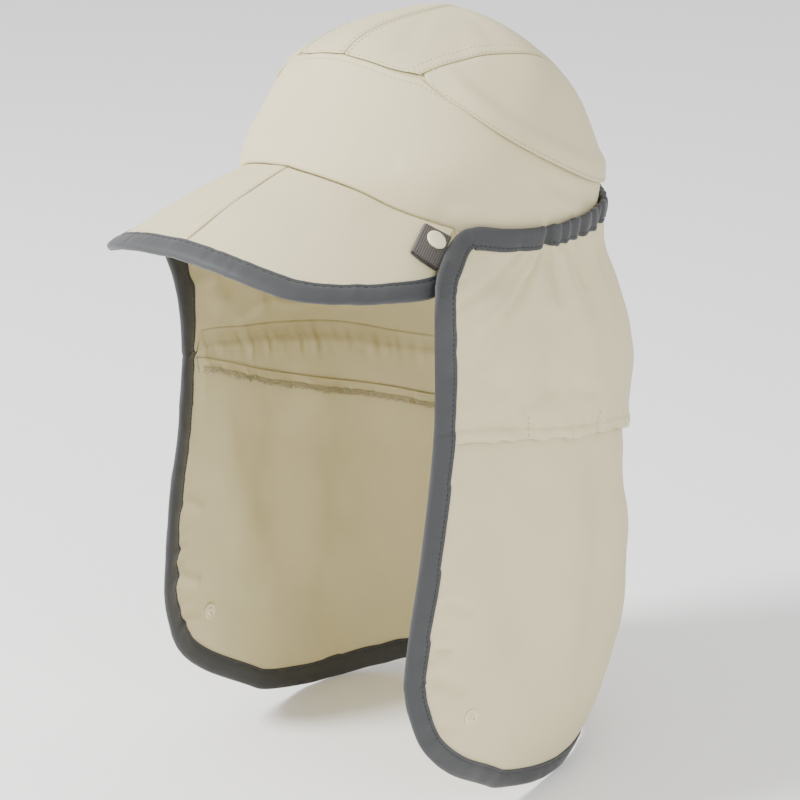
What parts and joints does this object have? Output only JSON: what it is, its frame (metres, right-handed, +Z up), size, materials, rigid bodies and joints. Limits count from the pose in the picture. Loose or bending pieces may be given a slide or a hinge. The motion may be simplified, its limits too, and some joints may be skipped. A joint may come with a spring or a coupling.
{
  "type": "legionnaire cap",
  "caption": "Peaked sun cap with a vented crown, a dark bound peak, a long gathered neck cape with a pleat and bound edge, and small snap tabs at the temples.",
  "frame": {"origin": "middle of the head opening, level with the crown's lower rim at the sides", "axes": "+Z up along the standing wearer, the cap faces -Y, and the wearer's left is +X"},
  "size_m": [0.2058, 0.2832, 0.3891],
  "materials": {
    "sand_cloth": "matte plain-woven nylon",
    "slate_binding": "matte folded binding tape",
    "tab_webbing": "matte ribbed webbing",
    "snap_plastic": "satin"
  },
  "bodies": {
    "root": {"crown_band": "sand_cloth", "crown_top_left": "sand_cloth", "crown_top_right": "sand_cloth", "crown_rear_left": "sand_cloth", "crown_rear_right": "sand_cloth", "peak_left": "sand_cloth", "peak_right": "sand_cloth", "peak_binding": "slate_binding", "cape_upper": "sand_cloth", "cape_lower": "sand_cloth", "cape_seam_tape": "sand_cloth", "cape_binding": "slate_binding", "tab_left": "tab_webbing", "tab_right": "tab_webbing", "tab_snap_left": "snap_plastic", "tab_snap_right": "snap_plastic", "snap_stud_left": "snap_plastic", "snap_stud_right": "snap_plastic", "snap_cap_left": "snap_plastic", "snap_cap_right": "snap_plastic"}
  },
  "joints": []
}
